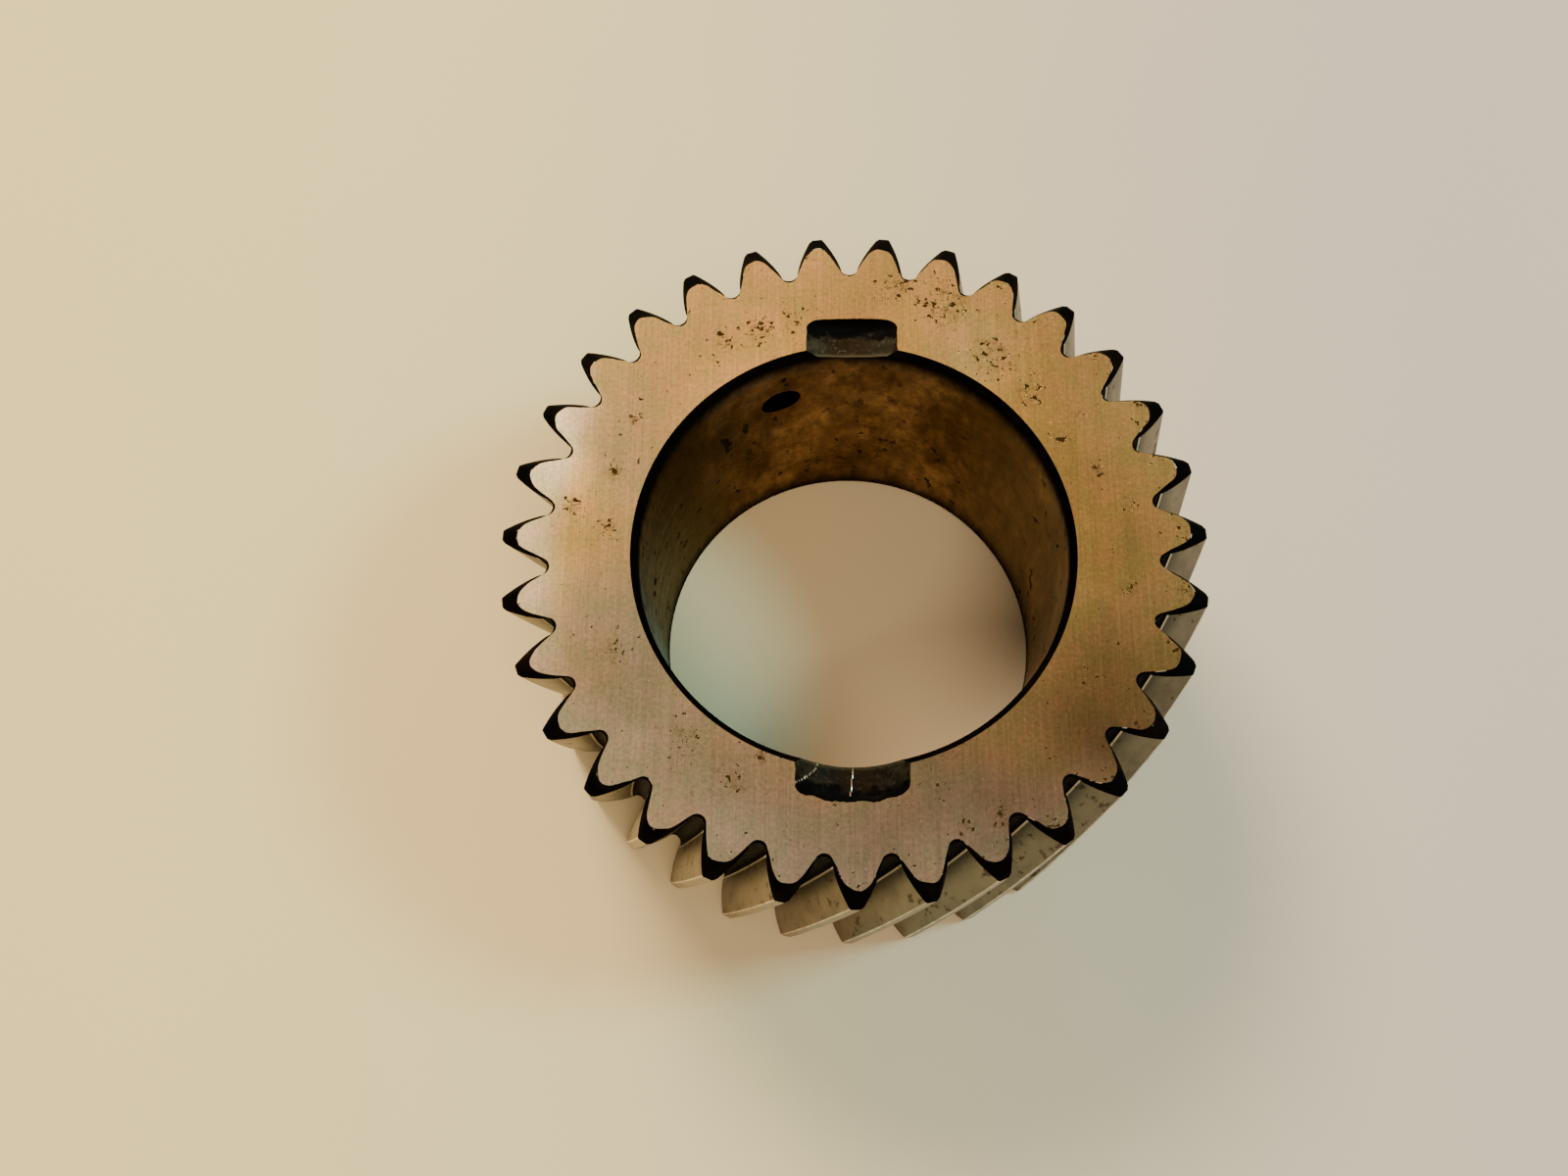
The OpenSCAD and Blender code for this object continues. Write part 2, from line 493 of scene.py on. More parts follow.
def slot_column(spec, u, half):
    """One closed section of the slot's cutter: its floor, its outer corner and end, and its lid."""
    cutter_r = spec["cutter_r"]
    floor = WIDTH - spec["depth"] + cutter_r - math.sqrt(cutter_r * cutter_r - u * u)
    reach = slot_reach(spec, u, half)
    floor_end = reach - SLOT_CORNER
    column = []
    for j in range(SLOT_ROWS + 1):
        v = SLOT_START + (floor_end - SLOT_START) * j / SLOT_ROWS
        spot = Vector((u * LUMP_RATE, v * LUMP_RATE, spec["side"] * LUMP_PLACE))
        lump = SLOT_LUMPS * noise.noise(spot)
        for crest in spec["crests"]:
            lump += CREST_HEIGHT * math.exp(-((u - crest(v)) / CREST_WIDTH) ** 2)
        column.append((u, v, floor + lump))
    for j in range(1, SLOT_CORNER_STEPS + 1):
        a = math.pi / 2 * j / SLOT_CORNER_STEPS
        v = floor_end + SLOT_CORNER * math.sin(a)
        column.append((u, v, floor + SLOT_CORNER * (1 - math.cos(a))))
    column.append((u, reach, WIDTH + CUTTER_OVERRUN))
    column.append((u, SLOT_START, WIDTH + CUTTER_OVERRUN))
    return column


def slot_cutter(name, spec, slots):
    """Cutter for a face slot: a shallow trough with a rough floor and a rounded outer corner."""
    side = spec["side"]
    cutter_r = spec["cutter_r"]
    depth = spec["depth"]
    half = math.sqrt(2 * cutter_r * depth - depth * depth) + SLOT_MARGIN
    columns = []
    for i in range(SLOT_COLUMNS + 1):
        u = -half + 2 * half * i / SLOT_COLUMNS
        columns.append(slot_column(spec, u, half))
    size = len(columns[0])
    points = []
    for column in columns:
        points.extend((side * u + spec["shift"], side * v, z) for u, v, z in column)
    crest_reach = half / SLOT_COLUMNS
    faces = []
    zones = []
    for i in range(SLOT_COLUMNS):
        for j in range(size):
            k = (j + 1) % size
            faces.append((i * size + j, i * size + k, (i + 1) * size + k, (i + 1) * size + j))
            u = 0.5 * (columns[i][j][0] + columns[i + 1][j][0])
            v = 0.5 * (columns[i][j][1] + columns[i][k][1])
            if j >= SLOT_ROWS:
                zones.append("slot_wall")
            elif any(abs(u - crest(v)) < crest_reach for crest in spec["crests"]):
                zones.append("corner")
            else:
                zones.append("slot_floor")
    faces.append(tuple(range(size - 1, -1, -1)))
    faces.append(tuple(SLOT_COLUMNS * size + j for j in range(size)))
    zones += ["slot_wall"] * 2
    return cutter_object(name, points, faces, zones, slots)


def oil_hole_cutter(slots):
    """Cutter for the radial oil hole: wide at the bore and narrow at the tooth space."""
    angle = tooth_angle(OIL_TOOTH + 0.5, OIL_Z)
    outward = Vector((math.cos(angle), math.sin(angle), 0))
    across = Vector((-math.sin(angle), math.cos(angle), 0))
    up = Vector((0, 0, 1))
    axis_at = Vector((0, 0, OIL_Z))
    profile = [
        (OIL_START, OIL_HOLE_R),
        (OIL_STEP_R, OIL_HOLE_R),
        (OIL_STEP_R, OIL_OUTLET_R),
        (TIP_R + CUTTER_OVERRUN, OIL_OUTLET_R),
    ]
    points = []
    for v, r in profile:
        for i in range(OIL_SIDES):
            a = 2 * math.pi * i / OIL_SIDES
            spoke = r * math.cos(a) * across + r * math.sin(a) * up
            points.append(tuple(axis_at + v * outward + spoke))
    faces = []
    for row in range(len(profile) - 1):
        here = row * OIL_SIDES
        there = here + OIL_SIDES
        for i in range(OIL_SIDES):
            j = (i + 1) % OIL_SIDES
            faces.append((here + i, there + i, there + j, here + j))
    last = (len(profile) - 1) * OIL_SIDES
    faces.append(tuple(range(OIL_SIDES)))
    faces.append(tuple(last + i for i in range(OIL_SIDES - 1, -1, -1)))
    return cutter_object("oil_hole_cutter", points, faces, ["oil_hole"] * len(faces), slots)


def finish_edges(mesh):
    """Smooth shading that stays crisp at every corner and wherever the finish changes."""
    work = bmesh.new()
    work.from_mesh(mesh)
    for face in work.faces:
        face.smooth = True
    for edge in work.edges:
        if len(edge.link_faces) == 2:
            one, other = edge.link_faces
            same = one.material_index == other.material_index
            edge.smooth = same and edge.calc_face_angle() < SHARP_ANGLE
    work.to_mesh(mesh)
    work.free()


def build_gear(slots):
    """The whole gear: its skin of teeth, bore and faces, with the slots and the oil hole cut in."""
    skin = Skin()
    outer_top, outer_bottom = toothed_rings(skin)
    inner_top, inner_bottom = bore_rings(skin)
    end_face(skin, outer_top, inner_top, True)
    end_face(skin, outer_bottom, inner_bottom, False)
    gear = bpy.data.objects.new("gear_ring", skin.mesh("gear_ring", slots))
    bpy.context.scene.collection.objects.link(gear)
    cutters = [slot_cutter(name + "_cutter", spec, slots) for name, spec in SLOTS.items()]
    cutters.append(oil_hole_cutter(slots))
    for cutter in cutters:
        cut = gear.modifiers.new(cutter.name, "BOOLEAN")
        cut.operation = "DIFFERENCE"
        cut.solver = "EXACT"
        cut.material_mode = "INDEX"
        cut.object = cutter
    graph = bpy.context.evaluated_depsgraph_get()
    cut_mesh = bpy.data.meshes.new_from_object(gear.evaluated_get(graph))
    gear.modifiers.clear()
    gear.data = cut_mesh
    for cutter in cutters:
        bpy.data.objects.remove(cutter)
    finish_edges(gear.data)
    return gear


# ---------------------------------------------------------------- materials, in metres
# Colours are linear red, green and blue. A fade's first two numbers are where a change starts and
# where it is complete, and the next two are its values there.

# The colour sockets of a mix node, which has others of the same names
MIX_A = 6
MIX_B = 7
MIX_RESULT = 2


class Shader:
    """A material's node tree, with short calls for the nodes used here."""

    def __init__(self, name, base, roughness, metallic, specular=0.5):
        self.material = bpy.data.materials.new(name)
        self.material.use_nodes = True
        self.nodes = self.material.node_tree.nodes
        self.links = self.material.node_tree.links
        self.surface = self.nodes["Principled BSDF"]
        self.surface.inputs["Base Color"].default_value = (*base, 1)
        self.surface.inputs["Roughness"].default_value = roughness
        self.surface.inputs["Metallic"].default_value = metallic
        self.surface.inputs["Specular IOR Level"].default_value = specular
        self.position = self.nodes.new("ShaderNodeTexCoord").outputs["Object"]

    def feed(self, socket, value):
        """Links an output to a socket, or sets the socket to a plain value."""
        if isinstance(value, bpy.types.NodeSocket):
            self.links.new(value, socket)
        else:
            socket.default_value = value

    def feed_colour(self, socket, colour):
        """Feeds a colour socket from an output, or from plain red, green and blue."""
        self.feed(socket, colour if isinstance(colour, bpy.types.NodeSocket) else (*colour, 1))

    def vector_node(self, operation, first, second=(0, 0, 0)):
        """A vector math node with its two vectors fed."""
        node = self.nodes.new("ShaderNodeVectorMath")
        node.operation = operation
        self.feed(node.inputs[0], first)
        self.feed(node.inputs[1], second)
        return node

    def noise(self, rate, detail=3.0, roughness=0.55):
        """Fractal noise between 0 and 1. The rate is in features per metre, and may differ by axis."""
        mapping = self.nodes.new("ShaderNodeMapping")
        mapping.inputs["Scale"].default_value = rate if isinstance(rate, tuple) else (rate,) * 3
        self.feed(mapping.inputs["Vector"], self.position)
        node = self.nodes.new("ShaderNodeTexNoise")
        self.feed(node.inputs["Vector"], mapping.outputs["Vector"])
        node.inputs["Scale"].default_value = 1.0
        node.inputs["Detail"].default_value = detail
        node.inputs["Roughness"].default_value = roughness
        return node.outputs["Fac"]

    def math(self, operation, a, b=0.0, clamp=False):
        """One step of arithmetic on plain values or outputs."""
        node = self.nodes.new("ShaderNodeMath")
        node.operation = operation
        node.use_clamp = clamp
        self.feed(node.inputs[0], a)
        self.feed(node.inputs[1], b)
        return node.outputs[0]

    def fade(self, value, low, high, start=0.0, end=1.0):
        """Maps a value from low..high smoothly onto start..end."""
        node = self.nodes.new("ShaderNodeMapRange")
        node.interpolation_type = "SMOOTHSTEP"
        self.feed(node.inputs["Value"], value)
        node.inputs["From Min"].default_value = low
        node.inputs["From Max"].default_value = high
        node.inputs["To Min"].default_value = start
        node.inputs["To Max"].default_value = end
        return node.outputs["Result"]

    def mix(self, share, a, b):
        """Colour a where the share is 0, and colour b where it is 1."""
        node = self.nodes.new("ShaderNodeMix")
        node.data_type = "RGBA"
        self.feed(node.inputs["Factor"], share)
        self.feed_colour(node.inputs[MIX_A], a)
        self.feed_colour(node.inputs[MIX_B], b)
        return node.outputs[MIX_RESULT]

    def dim(self, colour, share):
        """A colour made darker or lighter by a factor."""
        node = self.vector_node("SCALE", colour)
        self.feed(node.inputs["Scale"], share)
        return node.outputs["Vector"]

    def tint(self, colour, factors):
        """A colour with its red, green and blue each made darker or lighter by a factor."""
        return self.vector_node("MULTIPLY", colour, factors).outputs["Vector"]

    def axis(self, name):
        """The surface point's X, Y or Z."""
        node = self.nodes.new("ShaderNodeSeparateXYZ")
        self.feed(node.inputs[0], self.position)
        return node.outputs[name]

    def flat(self):
        """The surface point moved down to z = 0."""
        return self.vector_node("MULTIPLY", self.position, (1, 1, 0)).outputs["Vector"]

    def radius(self):
        """Distance from the bore's axis."""
        return self.vector_node("LENGTH", self.flat()).outputs["Value"]

    def near(self, x, y, reach, peak):
        """The peak value at a place given in millimetres, fading to 0 at its reach from there."""
        away = self.vector_node("DISTANCE", self.flat(), (x * MM, y * MM, 0))
        return self.fade(away.outputs["Value"], 0, reach * MM, peak, 0)

    def colour(self, value):
        self.feed_colour(self.surface.inputs["Base Color"], value)

    def metal(self, value):
        self.feed(self.surface.inputs["Metallic"], value)

    def rough(self, value):
        self.feed(self.surface.inputs["Roughness"], value)

    def bump(self, height, depth):
        """Bump from a height between 0 and 1 that stands for this many metres."""
        node = self.nodes.new("ShaderNodeBump")
        node.inputs["Distance"].default_value = depth
        node.inputs["Strength"].default_value = 1.0
        self.feed(node.inputs["Height"], height)
        self.feed(self.surface.inputs["Normal"], node.outputs["Normal"])


# Where the end face's tones change over, both from left to right and from front to back
TONE_SPAN = (-0.035, 0.065)


def face_tones(s, x, y, waver):
    """Broad tones of the end face, part patina and part painted light: brown and darkened by painted
    shade at the front right, golden at the back right with a painted reflection, a painted grey sheen
    along the front edge, and a painted pale sheen at the left.
    """
    # Painted shade: the tones grow darker towards the front right
    across = s.fade(x, *TONE_SPAN)
    along = s.fade(y, *TONE_SPAN)
    front = s.mix(across, (0.300, 0.245, 0.165), (0.104, 0.037, 0.011))
    back = s.mix(across, (0.155, 0.100, 0.038), (0.56, 0.322, 0.112))
    steel = s.mix(along, front, back)
    # Painted grey sheen along the front edge of the face, weaker towards the right
    front_grey_sheen = s.fade(y, -0.040, -0.018, 0.75, 0)
    front_grey_sheen = s.math("MULTIPLY", front_grey_sheen, s.fade(x, -0.01, 0.04, 1, 0.5))
    steel = s.mix(front_grey_sheen, steel, (0.33, 0.27, 0.205))
    # Painted pale sheen over the teeth at the far left, greyer towards the front
    pale_back = s.mix(s.fade(s.radius(), 0.046, 0.052), (0.54, 0.345, 0.125), (0.46, 0.39, 0.27))
    pale = s.mix(s.fade(y, -0.022, -0.004), (0.26, 0.25, 0.195), pale_back)
    steel = s.mix(s.fade(x, -0.039, -0.027, 0.8, 0), steel, pale)
    # Golden tone over the inner part of the face at the back right, partly a painted reflection
    golden_tone_and_reflection = s.fade(s.math("SUBTRACT", s.radius(), waver), 0.022, 0.034, 0.7, 0)
    golden_tone_and_reflection = s.math("MULTIPLY", golden_tone_and_reflection, s.math("MULTIPLY", across, along))
    steel = s.mix(golden_tone_and_reflection, steel, (0.68, 0.36, 0.085))
    for patch_x, patch_y, reach, share, tone in TONE_PATCHES:
        steel = s.mix(s.near(patch_x, patch_y, reach, share), steel, tone)
    return steel


def face_grain(s, steel, cloud, lines):
    """Stains, soft changes of hue, grain and grinding lines over the end face's tones."""
    golden = s.fade(s.noise(35, roughness=0.45), 0.42, 0.68, 0, 0.22)
    steel = s.mix(golden, steel, (0.34, 0.19, 0.06))
    smudge = s.fade(s.noise(90, detail=5, roughness=0.6), 0.56, 0.74, 0, 0.16)
    steel = s.mix(smudge, steel, (0.15, 0.11, 0.06))
    hue = s.fade(s.noise(230, detail=4, roughness=0.6), 0.36, 0.64)
    steel = s.tint(steel, s.mix(hue, (0.91, 0.99, 0.93), (1.09, 1.0, 1.07)))
    grain = s.noise(1500, roughness=0.6)
    steel = s.dim(steel, s.fade(cloud, 0.32, 0.68, 0.92, 1.08))
    steel = s.dim(steel, s.fade(grain, 0.3, 0.7, 0.86, 1.14))
    return s.dim(steel, s.fade(lines, 0.3, 0.7, 0.90, 1.10))


def pit_crowding(s, x):
    """How densely pits crowd on the end face: in their beds, and a little on the teeth at the right."""
    beds = s.near(*PIT_BEDS[0])
    for bed in PIT_BEDS[1:]:
        beds = s.math("MAXIMUM", beds, s.near(*bed))
    tips = s.math("MULTIPLY", s.fade(s.radius(), 0.0505, 0.0555, 0, 0.09), s.fade(x, *TONE_SPAN))
    return s.math("MAXIMUM", beds, tips)


def crowded_noise(s, crowding, rate, detail=3.0, roughness=0.55):
    """Noise that is raised where pits crowd, so that more of it passes a threshold there."""
    return s.math("ADD", s.noise(rate, detail, roughness), crowding)


def ground_face():
    """End face: satin ground steel, golden brown to pale, with painted light and shade in these tones,
    and with stains and clusters of dark pits.
    """
    s = Shader("ground_face", (0.3, 0.2, 0.1), 0.36, 1.0)
    waver = s.math("MULTIPLY", s.noise(25, detail=4), 0.03)
    x = s.math("ADD", s.axis("X"), waver)
    y = s.math("ADD", s.axis("Y"), waver)
    cloud = s.noise(38, detail=4, roughness=0.5)
    lines = s.noise((3600, 40, 40))
    crowding = pit_crowding(s, x)
    steel = face_grain(s, face_tones(s, x, y, waver), cloud, lines)
    steel = s.mix(s.fade(crowding, 0.03, 0.14, 0, 0.16), steel, (0.17, 0.10, 0.04))
    spots = s.fade(crowded_noise(s, crowding, 620, 4, 0.6), 0.62, 0.76, 0, 0.5)
    steel = s.mix(spots, steel, (0.15, 0.085, 0.03))
    pits = s.fade(crowded_noise(s, crowding, 900, 3, 0.6), 0.67, 0.72)
    fine_pits = s.fade(crowded_noise(s, crowding, 2000, 2), 0.70, 0.76, 0, 0.7)
    pits = s.math("MAXIMUM", pits, fine_pits)
    s.colour(s.mix(pits, steel, (0.04, 0.021, 0.006)))
    s.rough(s.math("ADD", s.fade(cloud, 0.3, 0.7, 0.35, 0.38), s.math("MULTIPLY", pits, 0.3)))
    s.bump(s.math("SUBTRACT", s.math("MULTIPLY", lines, 0.08), pits), 0.00004)
    return s.material


def ground_flank():
    """Tooth flank: pale ground steel with brown specks, painted shade towards its root, a painted
    highlight line along the step there, and darker towards its foot.
    """
    s = Shader("ground_flank", (0.6, 0.56, 0.48), 0.38, 1.0, 0.02)
    lines = s.noise((500, 500, 2600))
    blotch = s.noise((200, 200, 70), detail=4, roughness=0.6)
    steel = s.mix(s.fade(blotch, 0.42, 0.7), (0.185, 0.152, 0.098), (0.105, 0.080, 0.048))
    # Painted shade towards the root, where the neighbouring tooth darkens the flank
    root_shade = s.fade(s.radius(), 0.0522, 0.0558, 0.9, 0)
    steel = s.mix(root_shade, steel, (0.055, 0.053, 0.032))
    foot = s.fade(s.axis("Z"), 0.001, 0.007, 0.55, 0)
    steel = s.mix(foot, steel, (0.10, 0.06, 0.022))
    # Painted highlight: a bright line along the step at the flank's root, with less metal there so that
    # it stays bright under any light
    above_highlight_line = s.fade(s.radius(), 0.05258, 0.05268)
    steel = s.mix(above_highlight_line, (0.68, 0.58, 0.40), steel)
    specks = s.fade(s.noise((480, 480, 170), detail=4, roughness=0.65), 0.58, 0.66, 0, 0.8)
    s.colour(s.mix(specks, steel, (0.04, 0.024, 0.010)))
    s.metal(s.math("SUBTRACT", s.fade(above_highlight_line, 0, 1, 0.3, 1), specks, clamp=True))
    s.rough(s.fade(lines, 0.3, 0.7, 0.38, 0.44))
    s.bump(lines, 0.000004)
    return s.material


def turned_land():
    """Tooth land: turned steel with fine rings around the gear."""
    s = Shader("turned_land", (0.6, 0.54, 0.48), 0.4, 1.0)
    rings = s.noise((120, 120, 3200))
    s.colour(s.mix(s.fade(rings, 0.35, 0.65), (0.36, 0.30, 0.225), (0.23, 0.185, 0.13)))
    s.rough(s.fade(rings, 0.3, 0.7, 0.34, 0.5))
    s.bump(rings, 0.00002)
    return s.material


def bright_corner():
    """The edge of each tooth that is worn bright, and the bright crests in the front slot."""
    s = Shader("bright_corner", (0.8, 0.74, 0.66), 0.3, 1.0)
    wear = s.noise((700, 700, 250))
    s.colour(s.mix(s.fade(wear, 0.35, 0.65), (0.80, 0.70, 0.56), (0.45, 0.36, 0.26)))
    return s.material


def dark_corner():
    """The edge of each tooth that stayed dark, with a little wear."""
    s = Shader("dark_corner", (0.07, 0.055, 0.04), 0.5, 0.6)
    wear = s.noise((900, 900, 300))
    s.colour(s.mix(s.fade(wear, 0.4, 0.7), (0.07, 0.055, 0.04), (0.25, 0.2, 0.15)))
    return s.material


# Chips in the scale begin this far from an end face, and are whole within the second distance
CHIP_START = 0.16 * MM
CHIP_WHOLE = 0.08 * MM

# How much brighter the grains of the scale are than its base colour
GRAIN_LIFT = 2.2


def black_scale(name, base, brown, gloss, brown_share, chips=False):
    """Heat-treatment scale: nearly black, fine-grained, and brown in places.

    Chips show bright steel here and there along the edge of an end face.
    """
    s = Shader(name, base, gloss, 0.0, 0.02)
    grain = s.noise(2600)
    patch = s.noise(240)
    coat = s.mix(s.fade(patch, 0.45, 0.7, 0, brown_share), base, brown)
    grain_colour = tuple(GRAIN_LIFT * c for c in base)
    coat = s.mix(s.fade(grain, 0.5, 0.8, 0, 0.5), coat, grain_colour)
    if chips:
        middle = WIDTH / 2 * MM
        from_middle = s.math("ABSOLUTE", s.math("SUBTRACT", s.axis("Z"), middle))
        at_edge = s.fade(from_middle, middle - CHIP_START, middle - CHIP_WHOLE)
        chipped = s.math("MULTIPLY", at_edge, s.fade(s.noise(420), 0.6, 0.64))
        coat = s.mix(chipped, coat, (0.55, 0.45, 0.30))
        s.metal(s.math("MULTIPLY", chipped, 0.6))
    s.colour(coat)
    s.rough(s.fade(grain, 0.3, 0.7, gloss - 0.08, gloss + 0.12))
    s.bump(grain, 0.00004)
    return s.material


def bore_tones(s, left, mottle):
    """Colour of the bore's wall: brown, made paler at the right by painted light, and at the left given
    painted shade with a painted greenish sheen low down at the front and painted highlight streaks.
    """
    cloud = s.noise((60, 60, 40), detail=6, roughness=0.65)
    fine = s.noise((330, 330, 180), detail=4, roughness=0.65)
    shade = s.noise((150, 150, 80), detail=6, roughness=0.75)
    wall = s.mix(s.fade(cloud, 0.38, 0.66), (0.120, 0.069, 0.032), (0.34, 0.21, 0.105))
    wall = s.mix(s.fade(fine, 0.45, 0.7, 0, 0.6), wall, (0.075, 0.040, 0.018))
    wall = s.dim(wall, s.fade(shade, 0.36, 0.64, 0.65, 1.35))
    wall = s.dim(wall, s.fade(mottle, 0.36, 0.64, 0.78, 1.22))
    # Painted light: the wall paler at the right
    right = s.fade(s.axis("X"), 0.018, 0.034, 0, 0.35)
    wall = s.mix(right, wall, (0.28, 0.22, 0.13))
    # Painted shade over the left side, with a painted greenish sheen low down at the front; both
    # brighter towards the foot
    left_shade_and_sheen = s.mix(s.fade(s.axis("Y"), -0.010, 0.001), (0.15, 0.20, 0.17), (0.036, 0.021, 0.009))
    wall = s.mix(left, wall, s.dim(left_shade_and_sheen, s.fade(s.axis("Z"), 0.018, 0.050, 1.4, 0.4)))
    # Painted highlight streaks on the left side
    highlight_streaks = s.fade(s.noise((90, 90, 1100)), 0.58, 0.7, 0, 0.3)
    return s.mix(s.math("MULTIPLY", highlight_streaks, left), wall, (0.09, 0.085, 0.05))


def bore_wall():
    """Bore: ground steel gone dark brown, with cloudy stains, black specks and faint rings, darker near
    the upper face, with a painted contact shadow at its foot and painted shade on its left side.
    """
    s = Shader("bore_wall", (0.15, 0.1, 0.06), 0.35, 1.0, 0.0)
    s.surface.inputs["Specular Tint"].default_value = (0.60, 0.55, 0.44, 1)
    rings = s.noise((40, 40, 2400), detail=2)
    mottle = s.noise((600, 600, 260), detail=5, roughness=0.7)
    # The left side of the bore, which carries painted shade and a painted sheen
    left = s.fade(s.axis("X"), -0.034, -0.012, 1, 0)
    speckled = s.fade(s.noise(48, detail=2), 0.42, 0.55)
    specks = s.fade(s.noise((380, 380, 240), detail=4), 0.61, 0.67, 0, 0.85)
    specks = s.math("MULTIPLY", specks, speckled)
    rim = s.fade(s.axis("Z"), 0.0545, 0.0605)
    # Painted contact shadow along the foot of the wall, where it meets the floor
    foot = s.fade(s.axis("Z"), 0.0, 0.009, 1, 0)
    dark = s.math("MAXIMUM", s.math("MAXIMUM", specks, rim), foot)
    s.colour(s.mix(dark, bore_tones(s, left, mottle), (0.006, 0.0035, 0.0015)))
    # Painted shade on the left side: less metal there, so that side looks darker
    shaded = s.math("MULTIPLY", left, s.fade(s.axis("Y"), -0.006, 0.004, 0.4, 0.12))
    bare = s.math("SUBTRACT", s.fade(mottle, 0.38, 0.62, 0.74, 1), shaded)
    s.metal(s.math("SUBTRACT", bare, s.math("MULTIPLY", dark, 0.85), clamp=True))
    s.rough(s.math("ADD", s.fade(rings, 0.3, 0.7, 0.27, 0.4), s.math("MULTIPLY", specks, 0.3)))
    s.bump(s.math("SUBTRACT", s.math("MULTIPLY", rings, 0.25), specks), 0.00002)
    return s.material


def slot_floor():
    """Slot floor: rough dark grey scale, with a painted brown reflection along the middle, black at its
    outer end where dark scale meets painted shade in the corner, and lighter along the edge at the
    bore, a painted highlight over some wear.
    """
    s = Shader("slot_floor", (0.02, 0.016, 0.008), 0.6, 0.0, 0.04)
    grain = s.noise(1500, detail=4, roughness=0.7)
    lumps = s.noise(420, detail=4)
    # Painted reflection of the brown bore along the middle of the floor
    middle = s.fade(s.math("ABSOLUTE", s.axis("X")), 0.002, 0.0065, 0.85, 0)
    coat = s.mix(s.fade(lumps, 0.35, 0.7), (0.007, 0.006, 0.0034), (0.040, 0.034, 0.019))
    coat = s.mix(middle, coat, (0.017, 0.008, 0.002))
    coat = s.mix(s.fade(grain, 0.55, 0.68, 0, 0.5), coat, (0.09, 0.078, 0.045))
    # Black at the outer end: dark scale with painted shade in the corner there
    ragged = s.math("ADD", s.radius(), s.math("MULTIPLY", lumps, 0.005))
    coat = s.mix(s.fade(ragged, 0.0417, 0.0427), coat, (0.001, 0.0008, 0.0006))
    # Lighter along the edge at the bore: a painted highlight where the edge catches light, over some
    # wear
    worn = s.fade(s.radius(), 0.0361, 0.0367, 0.25, 0)
    coat = s.mix(worn, coat, (0.20, 0.16, 0.09))
    s.colour(s.dim(coat, s.fade(s.axis("Y"), -0.01, 0.01, 0.5, 1)))
    s.rough(s.fade(lumps, 0.3, 0.7, 0.45, 0.7))
    s.bump(s.math("ADD", grain, s.math("MULTIPLY", lumps, 2.0)), 0.00005)
    return s.material


# The black scales: base colour, brown tinge, gloss, share of the brown, and whether it is chipped
SCALES = {
    "break": ((0.0007, 0.0006, 0.0005), (0.007, 0.003, 0.001), 0.5, 0.6, True),
    "chamfer": ((0.0007, 0.0006, 0.0005), (0.006, 0.0035, 0.002), 0.5, 0.5, False),
    "root": ((0.0007, 0.0004, 0.0002), (0.011, 0.003, 0.0005), 0.6, 0.7, False),
    "slot_wall": ((0.0012, 0.0012, 0.001), (0.006, 0.004, 0.0025), 0.5, 0.5, False),
    "oil_hole": ((0.001, 0.0008, 0.0006), (0.004, 0.002, 0.001), 0.45, 0.5, False),
}


def build_materials():
    """One material for each zone."""
    materials = {
        "face": ground_face(),
        "bore": bore_wall(),
        "flank": ground_flank(),
        "land": turned_land(),
        "corner": bright_corner(),
        "dark_corner": dark_corner(),
        "slot_floor": slot_floor(),
    }
    for zone, look in SCALES.items():
        materials[zone] = black_scale(zone + "_scale", *look)
    return materials


# ---------------------------------------------------------------- the picture, in metres
# The floor reaches this far each way, and lies just below the gear
FLOOR_REACH = 3.0
FLOOR_Z = -0.0002

# The lights, all aimed at the middle of the gear, with their power in watts
LIGHT_AIM = (0, 0, 0.03)
LIGHTS = {
    "warm_overhead": {
        "at": (-0.50, 0.85, 1.10), "size": 0.55, "power": 24, "colour": (1.0, 0.82, 0.58),
    },
    "warm_front": {
        "at": (0.12, -0.50, 1.25), "size": 0.5, "power": 9, "colour": (1.0, 0.80, 0.55),
    },
    "cool_side": {
        "at": (0.62, 0.10, 0.80), "size": 0.22, "power": 6, "colour": (0.42, 0.90, 0.95),
    },
}

# The even light that comes from all round
STUDIO_COLOUR = (1.0, 0.80, 0.57)
STUDIO_STRENGTH = 0.32

# The camera, in millimetres, with its turn about X, Y and Z in degrees
CAMERA_AT = (-5.06, -84.8, 308.2)
CAMERA_TURN = (17.575, 1.335, 0.423)
CAMERA_LENS = 36.09
CAMERA_SENSOR = 36.0
CAMERA_NEAR = 10.0


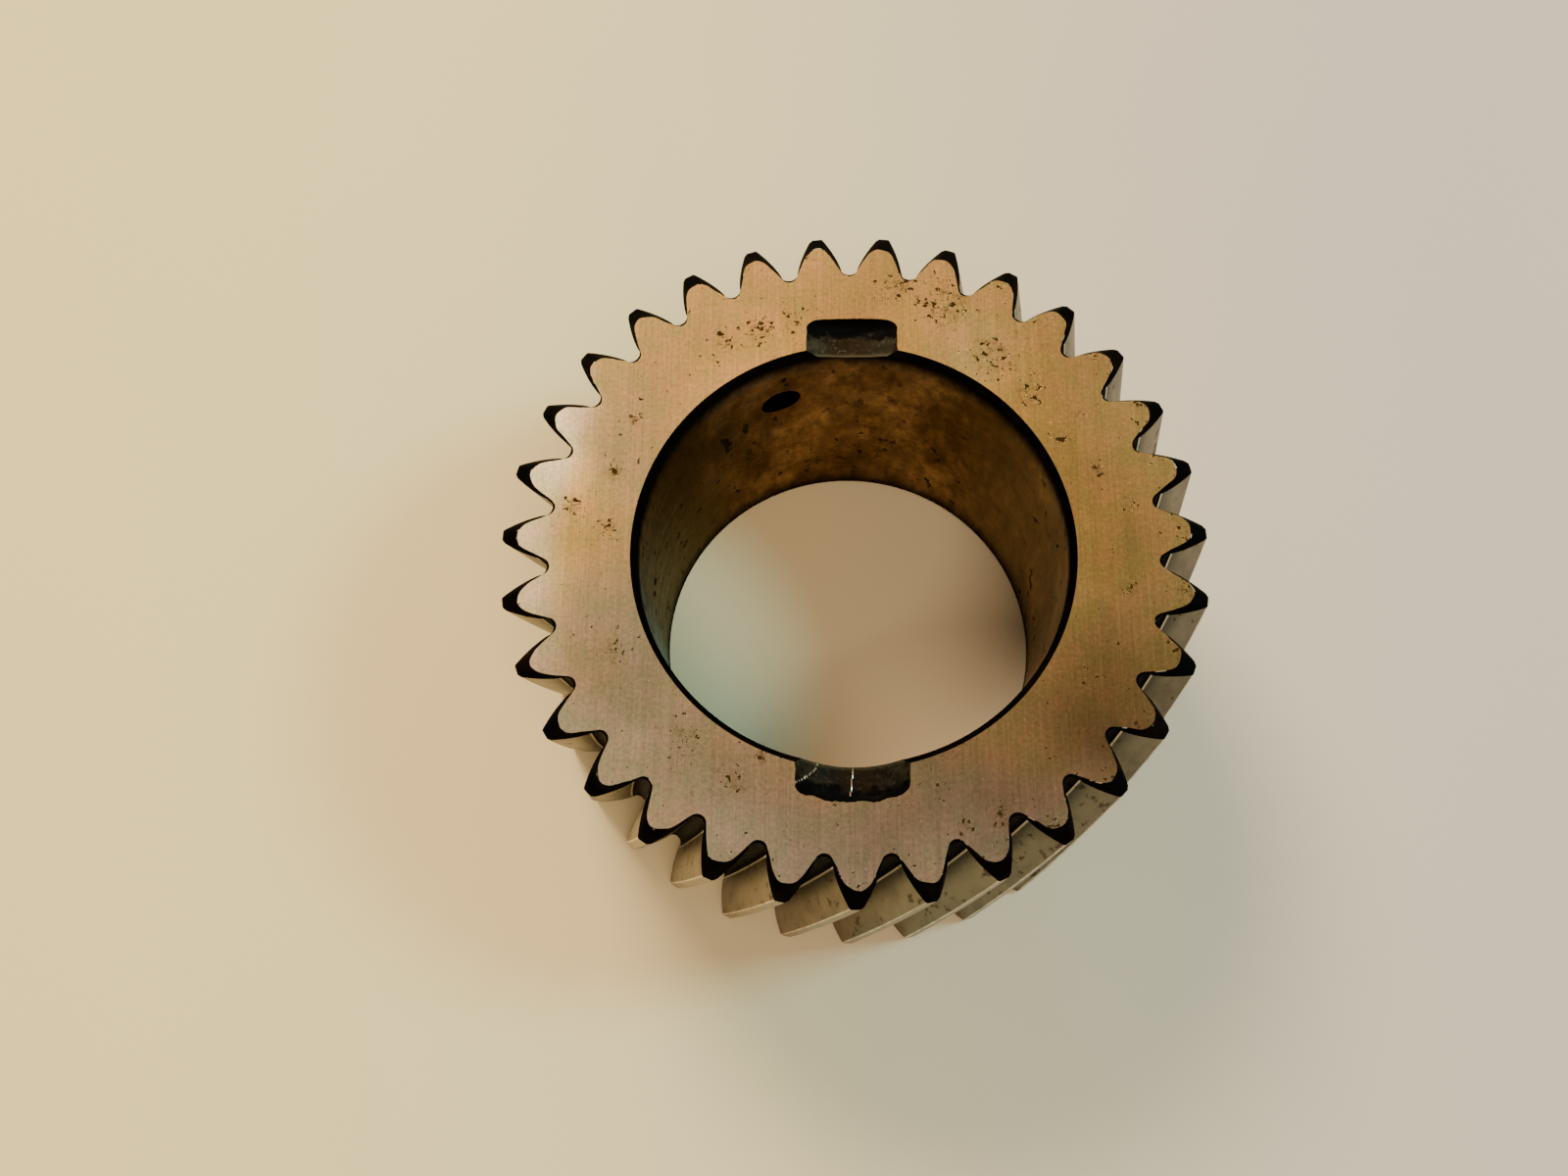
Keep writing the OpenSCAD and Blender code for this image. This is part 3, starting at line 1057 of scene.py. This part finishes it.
def build_floor():
    """Pale floor, large enough to fill the picture, with painted warm light that makes it warmer and
    brighter at the left than at the right.
    """
    s = Shader("floor", (0.82, 0.72, 0.57), 0.9, 0.0, 0.2)
    # Painted warm light: the floor grows warmer and brighter towards the left
    painted_light_across = s.math("ADD", s.axis("X"), s.math("MULTIPLY", s.noise(9, detail=2), 0.05))
    s.colour(s.mix(s.fade(painted_light_across, -0.13, 0.17), (0.92, 0.75, 0.38), (0.61, 0.52, 0.45)))
    sides = ((-1, -1), (1, -1), (1, 1), (-1, 1))
    corners = [(FLOOR_REACH * x, FLOOR_REACH * y, FLOOR_Z) for x, y in sides]
    mesh = bpy.data.meshes.new("floor")
    mesh.from_pydata(corners, [], [(0, 1, 2, 3)])
    mesh.materials.append(s.material)
    floor = bpy.data.objects.new("floor", mesh)
    bpy.context.scene.collection.objects.link(floor)


def area_light(name, at, size, power, colour):
    """A round soft light aimed at the middle of the gear."""
    light = bpy.data.lights.new(name, "AREA")
    light.shape = "DISK"
    light.size = size
    light.energy = power
    light.color = colour
    lamp = bpy.data.objects.new(name, light)
    lamp.location = at
    lamp.rotation_euler = (Vector(LIGHT_AIM) - Vector(at)).to_track_quat("-Z", "Y").to_euler()
    bpy.context.scene.collection.objects.link(lamp)


def build_light():
    """Warm surroundings, two warm lights and a small cool one."""
    world = bpy.data.worlds.new("studio")
    world.use_nodes = True
    background = world.node_tree.nodes["Background"]
    background.inputs["Color"].default_value = (*STUDIO_COLOUR, 1)
    background.inputs["Strength"].default_value = STUDIO_STRENGTH
    bpy.context.scene.world = world
    for name, light in LIGHTS.items():
        area_light(name, **light)


def build_camera():
    """Camera nearly overhead, a little in front of the gear."""
    data = bpy.data.cameras.new("camera")
    data.sensor_width = CAMERA_SENSOR
    data.lens = CAMERA_LENS
    data.clip_start = CAMERA_NEAR * MM
    camera = bpy.data.objects.new("camera", data)
    camera.location = Vector(CAMERA_AT) * MM
    camera.rotation_euler = [math.radians(angle) for angle in CAMERA_TURN]
    bpy.context.scene.collection.objects.link(camera)
    bpy.context.scene.camera = camera


materials = build_materials()
gear = build_gear(materials)
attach(gear, "root")
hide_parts("helical_gear")
build_floor()
build_light()
build_camera()
